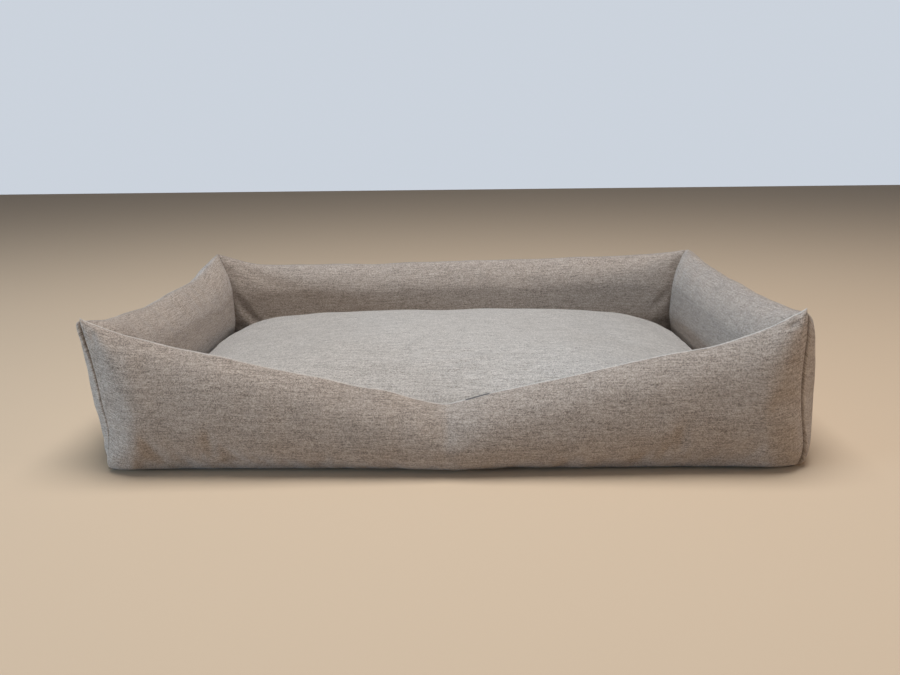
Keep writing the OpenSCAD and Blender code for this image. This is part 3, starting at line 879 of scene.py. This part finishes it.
pile = Pile()
x, y = base_l / 2 - base_seam_inset, base_w / 2 - base_seam_inset
corners = ((-x, -y), (x, -y), (x, y), (-x, y))
for start, end in zip(corners, corners[1:] + corners[:1]):
    sew(pile, (*start, margin_lift), (*end, margin_lift), (0, 0, -1))
base_seam = pile.object("base_stitching", dark_thread)
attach(base_seam, "frame")

# ---- Zips ------------------------------------------------------------------------------
# Each cover closes with a nylon zip: two woven tapes that carry a row of coiled teeth each,
# sewn behind the edges of a slot in the fabric, with a metal stop at each end. The slider
# and its pull are dull nickel.

tape_t, tape_step = 0.8 * MM, 20 * MM
# Half of a tape's section, as shares of its width and of its half thickness
tape_form = ((0, 0.4), (0.25, 1), (0.5, 1), (0.75, 0.9), (1, 1))
row_gap, row_w, row_t = 1.0 * MM, 2.4 * MM, 2.4 * MM
tooth_pitch, tooth_l, tooth_shift = 2.0 * MM, 1.5 * MM, 0.25
cord_r, cord_in = 0.25 * MM, 0.3 * MM
stop_l = 3.0 * MM
seam_off = 1.4 * MM
tape_dark, tape_pale = (0.16, 0.14, 0.115, 1), (0.30, 0.26, 0.22, 1)


def tape_finish():
    made, tree, place = material("zip_tape")
    ribs = twill(tree, place, 420.0, 0.6)
    return finished(
        made, Base_Color=tint(tree, ribs, tape_dark, tape_pale), Roughness=0.88,
        Normal=bump(tree, ribs, 0.5, 0.12 * MM),
    )


zip_tape = tape_finish()
nylon = plain_finish("nylon_teeth", (0.24, 0.20, 0.165), 0.42)
nickel = plain_finish(
    "dull_nickel", (0.50, 0.48, 0.45), 0.34, metal=1.0, grain=160.0, depth=0.02 * MM,
)


def bar(x, z, half_x, half_y, half_z, steps, taper=0.7):
    """Rings of a small bar with rounded ends, along z."""
    sections = ((-half_z, taper), (-0.7 * half_z, 1), (0.7 * half_z, 1), (half_z, taper))
    return [
        [(x + size * half_x * c, size * half_y * s, z + up) for c, s in circle(steps)]
        for up, size in sections
    ]


def zip_chain(name, length, slot_w):
    """A closed zip without its slider: x along it, y out of the fabric's face, z up."""
    pile = Pile()
    tape_w = (slot_w - row_gap) / 2
    reach = length / 2
    tape_steps = int(length / tape_step)
    teeth = int((length - 2 * stop_l) / tooth_pitch)
    for side in (-1, 1):
        section = [(side * (row_gap / 2 + share * tape_w), thick * tape_t / 2)
                   for share, thick in tape_form]
        edge = [(t, z) for z, t in section] + [(-t, z) for z, t in reversed(section)]
        along = [-reach + length * i / tape_steps for i in range(tape_steps + 1)]
        pile.add([[(x, y, z) for y, z in edge] for x in along], 0)
        middle = side * (row_gap + row_w) / 2
        for i in range(teeth):
            x = (i - (teeth - 1) / 2 + side * tooth_shift) * tooth_pitch
            pile.add(bar(x, middle, tooth_l / 2, row_t / 2, row_w / 2, 6), 1)
        for y in (row_t / 2 - cord_in, cord_in - row_t / 2):
            cord = [(y + cord_r * c, middle + cord_r * s) for c, s in circle(5)]
            ends = (stop_l - reach, reach - stop_l)
            pile.add([[(x, *point) for point in cord] for x in ends], 2)
    stop = bar(0, 0, row_t / 2, row_gap / 2 + row_w, stop_l / 2, 10, 0.8)
    for side in (-1, 1):
        at = side * (reach - stop_l / 2)
        pile.add([[(at + z, x, y) for x, y, z in ring] for ring in stop], 3)
    return pile.object(name, zip_tape, nylon, thread, nickel)


zips = [(name, wall.turn, "frame", "wall_fabric") for name, wall in walls.items()]
for name, turn, body, cloth_slot in zips + [("cushion", 0, "cushion", "cushion_fabric")]:
    low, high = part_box(f"{name}_zip_chain")
    length, slot_w = max((high - low).xy), high.z - low.z
    chain = zip_chain(f"{name}_zip", length, slot_w)
    place = Matrix.Translation((low + high) / 2) @ Matrix.Rotation(turn, 4, "Z")
    chain.matrix_world = place
    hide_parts(f"{name}_zip_chain")
    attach(chain, body)
    pile = Pile()
    x, y, z = length / 2, fabric_t / 2, slot_w / 2
    for side in (-1, 1):
        above, beyond = side * (z + seam_off), side * (x + seam_off)
        sew(pile, (-x, y, above), (x, y, above), (0, 1, 0))
        sew(pile, (beyond, y, -z), (beyond, y, z), (0, 1, 0))
    seam = pile.object(f"{name}_zip_stitching", thread)
    seam.matrix_world = place
    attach(seam, body)
    for part in ("slider", "pull"):
        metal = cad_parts[f"{name}_zip_{part}"]
        metal.data.materials.clear()
        metal.data.materials.append(nickel)

# ---- Cushion ---------------------------------------------------------------------------
# The loose cushion is a pillow of two tweed panels, sewn together round its edge and filled
# until its top is domed. It only lies in the rim, and pillows itself against the walls.

top_low, cushion_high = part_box("cushion_top_panel")
under_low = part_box("cushion_bottom_panel")[0]
cushion_zip_low, cushion_zip_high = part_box("cushion_zip_chain")
cushion_l, cushion_d = cushion_high.xy
seam_h, crown_h, under_h = top_low.z, cushion_high.z, under_low.z
plan_power = 8
crown_roundness, crown_fullness, corner_droop = 2.0, 2.5, 0.3
band_inset, band_top = 6 * MM, seam_h - 5.5 * MM
band_foot = band_top - 11.5 * MM
underside_inset, underside_roundness, underside_steps = 90 * MM, 1.5, 10
grid_l, grid_d, grid_crowding = 112, 76, 1.6
top_piece, bottom_piece = 6.0, 8.0  # which piece of the cut fabric each panel is
seam_ring = 0.9995
broad_dent, fine_dent = (1.8 * MM, 160 * MM), (0.6 * MM, 52 * MM)  # depth and width
edge_pucker, edge_reach, edge_hold = (1.2 * MM, 20 * MM), 0.05, 0.01
band_pucker, band_hold, under_hold = (1.0 * MM, 26 * MM), 8 * MM, 10 * MM
# Folds in the top: from x, y to x, y, half width in mm, depth in mm
folds = (
    (0.005, -0.175, 0.062, -0.160, 5, 1.0), (0.010, -0.196, 0.040, -0.188, 7, 0.8),
    (-0.020, -0.150, 0.075, -0.128, 9, 0.7), (-0.16, -0.12, -0.06, -0.15, 16, 0.8),
    (0.16, -0.10, 0.26, -0.06, 18, 0.8), (-0.30, 0.02, -0.22, 0.10, 20, 0.7),
)
fold_lip, fold_lip_at = 0.6, 1.6  # the cloth beside a fold stands up


def plan(a, b):
    """Places of a square grid from -1 to 1, carried over to the cushion's outline."""
    ring = np.maximum(np.abs(a), np.abs(b))
    safe = np.maximum(ring, 1e-9)
    scale = plan_ring(a / safe, b / safe) ** -1
    return a * scale, b * scale, ring


def plan_ring(x, y):
    """1 on the cushion's outline, and less inside."""
    return (np.abs(x) ** plan_power + np.abs(y) ** plan_power) ** (1 / plan_power)


def dome(x, y, ring, inset=0.0):
    droop = 1 - corner_droop * x * x * y * y
    full = np.maximum(0, 1 - ring**crown_roundness) ** (1 / crown_fullness)
    return seam_h + (crown_h - inset - seam_h) * droop * full


def crowded(count):
    """Places from -1 to 1 that lie closer together at the ends."""
    t = np.linspace(-1, 1, count)
    return np.sign(t) * (1 - (1 - np.abs(t)) ** grid_crowding)


def from_middle(points, axis):
    length = lengths(points, axis)
    return length - np.take(length, [length.shape[axis] // 2], axis=axis)


x, y, ring = plan(*np.meshgrid(crowded(grid_l), crowded(grid_d), indexing="ij"))
points = np.dstack([x * cushion_l, y * cushion_d, dome(x, y, ring)])
mesh = grid_mesh("cushion_top_fabric", points)
places = [from_middle(points, 0), from_middle(points, 1), np.full(x.shape, top_piece)]
lay_cloth(mesh, np.dstack(places))
cushion_top = add_object(mesh.name, mesh, cushion_tweed)
swell(cushion_top, ring.ravel() > seam_ring, pressure=1.6, slack=0.006, furthest=3 * MM)
subdivide(cushion_top)

mesh = cushion_top.data
at, normals = (values_of(mesh.vertices, key) for key in ("co", "normal"))
cloth = values_of(mesh.attributes["cloth"].data, "vector")
from_edge = 1 - plan_ring(at[:, 0] / cushion_l, at[:, 1] / cushion_d)
push = ripple(cloth, *broad_dent, 3) + ripple(cloth, *fine_dent, 5)
push += ripple(at * [1, 1, 0.2], *edge_pucker, 8) * np.exp(-from_edge / edge_reach)
for x1, y1, x2, y2, wide, depth in folds:
    start, run = np.array([x1, y1]), np.array([x2 - x1, y2 - y1])
    share = ((at[:, :2] - start) @ run) / (run @ run)
    nearest = start + np.clip(share, 0, 1)[:, None] * run
    away = np.linalg.norm(at[:, :2] - nearest, axis=1)
    lip = fold_lip * bell(away, fold_lip_at * wide * MM, wide * MM)
    push -= depth * MM * (bell(away, 0, wide * MM) - lip)
moved = at + normals * (push * ramp(from_edge, edge_hold))[:, None]
outside = plan_ring(moved[:, 0] / cushion_l, moved[:, 1] / cushion_d)
moved[:, :2] /= np.maximum(1, outside)[:, None]
set_coordinates(mesh, moved)
thicken(cushion_top)

# The outline runs once round the edge of the top's grid
walk = np.arange(grid_l * grid_d).reshape(grid_l, grid_d)
walk = np.concatenate([walk[:-1, 0], walk[-1, :-1], walk[:0:-1, -1], walk[0, :0:-1]])
outline = np.column_stack([x.ravel()[walk], y.ravel()[walk]])


def level_ring(inset, z, outline=outline):
    size = np.array([cushion_l - inset, cushion_d - inset])
    return np.column_stack([outline * size, np.full(len(outline), z)])


def underside(inset=0.0):
    """(inset, height) of the rings from the seam over the upright band to the flat."""
    rows = [
        (0, seam_h), (0.25 * band_inset, seam_h - 2.4 * MM), (0.62 * band_inset, seam_h - 4.4 * MM),
        (band_inset, band_top), (band_inset, cushion_zip_high.z), (band_inset, cushion_zip_low.z),
    ]
    for i in range(underside_steps + 1):
        down = math.sin(math.pi / 2 * i / underside_steps)
        out = float(superellipse(np.array(down), underside_roundness))
        under = band_inset + (underside_inset - band_inset) * (1 - out)
        rows.append((under, band_foot - down * (band_foot - under_h)))
    return [(r + inset, z + inset * (z < band_foot)) for r, z in rows]


slot_row = 4  # the zip's slot lies between this ring and the next, and band_top just before it
rings = [level_ring(*row) for row in underside()]
flat = len(rings)
rings += [rings[-1] * [share, share, 1] for share in (0.8, 0.6, 0.4, 0.2)]
rings = np.array(rings)
from_flat = lengths(rings[:flat][::-1], 0)[::-1]
normal = np.sign(outline) * np.abs(outline) ** (plan_power - 1)
normal /= np.linalg.norm(normal, axis=1, keepdims=True)
places = np.copy(rings)
places[:flat, :, :2] = rings[flat - 1][:, :2] + normal * from_flat[..., None]
places[..., 2] = bottom_piece

index, faces = tube_faces(*rings.shape[:2])
zip_half = (cushion_zip_high.x - cushion_zip_low.x) / 2
by_zip = np.abs(outline[:, 0] * (cushion_l - band_inset)) < zip_half + 2 * MM
at_back = (outline[:, 1] > 0.9) & by_zip
keep = np.ones(faces.shape[:2], bool)
keep[slot_row, at_back & np.roll(at_back, -1)] = False
for i in np.flatnonzero(at_back & ~(np.roll(at_back, 1) & np.roll(at_back, -1))):
    beside = rings[slot_row - 1:slot_row + 3, i]
    beside[:, 0] = math.copysign(zip_half, beside[0, 0])
fan = [(int(i), rings[..., 0].size, int(j)) for i, j in zip(index[-1], np.roll(index[-1], -1))]
mesh = bpy.data.meshes.new("cushion_bottom_fabric")
vertices = rings.reshape(-1, 3).tolist() + [(0, 0, under_h)]
mesh.from_pydata(vertices, [], faces[keep].tolist() + fan)
lay_cloth(mesh, np.vstack([places.reshape(-1, 3), [(0, 0, bottom_piece)]]))
cushion_bottom = add_object(mesh.name, mesh, cushion_tweed)
at = values_of(mesh.vertices, "co")
at[:, 2] = np.maximum(at[:, 2], under_h)
gather = ripple(at * [1, 1, 0], *band_pucker, 9)
gather *= ramp(at[:, 2] - under_h, under_hold) * ramp(band_foot - at[:, 2], band_hold)
at[:, 2] += gather
set_coordinates(mesh, at)
thicken(cushion_bottom)

filling_gap = 6 * MM
filling_outline = outline[::3]
dome_shares = (0.99, 0.95, 0.88, 0.78, 0.64, 0.45, 0.22)
filling = [
    level_ring(*row, filling_outline) for row in reversed(underside(filling_gap)[slot_row - 1:])
]
for share in dome_shares:
    points = level_ring(filling_gap, 0, filling_outline) * [share, share, 1]
    points[:, 2] = dome(*(filling_outline.T * share), np.array(share), filling_gap)
    filling.append(points)
pile = Pile()
pile.add(filling)
cushion_core = pile.object("cushion_foam", foam)

for piece, replaced, slot_name, fill in (
    (cushion_top, "cushion_top_panel", "cushion_fabric", 0.8),
    (cushion_bottom, "cushion_bottom_panel", "cushion_fabric", 0.8),
    (cushion_core, "cushion_core", "foam", 1.0),
):
    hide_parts(replaced)
    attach(piece, "cushion")
